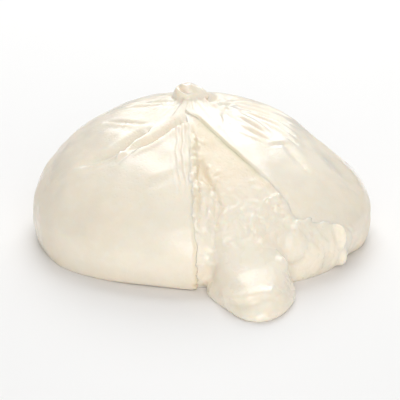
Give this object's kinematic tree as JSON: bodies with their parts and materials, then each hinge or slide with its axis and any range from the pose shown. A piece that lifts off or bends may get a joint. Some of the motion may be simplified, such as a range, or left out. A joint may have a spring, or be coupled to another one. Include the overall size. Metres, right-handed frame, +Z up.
{
  "type": "burrata cheese",
  "caption": "Soft round cheese pouch with a gathered knot, cut open in a wedge so its shredded creamy filling shows and runs out at the front.",
  "frame": {"origin": "on the floor, under the middle of the pouch", "axes": "+Z up through the pouch; -Y towards the cut and the tongue of cream; +X to the right of someone facing the cut"},
  "size_m": [0.11, 0.12, 0.049],
  "materials": {
    "skin": "moist satin pulled curd, ivory white, with faint stretch lines and creases",
    "filling": "wet shreds of curd in glossy cream, slightly warmer than the skin"
  },
  "bodies": {
    "root": {"skin": "skin", "filling": "filling"}
  },
  "joints": []
}
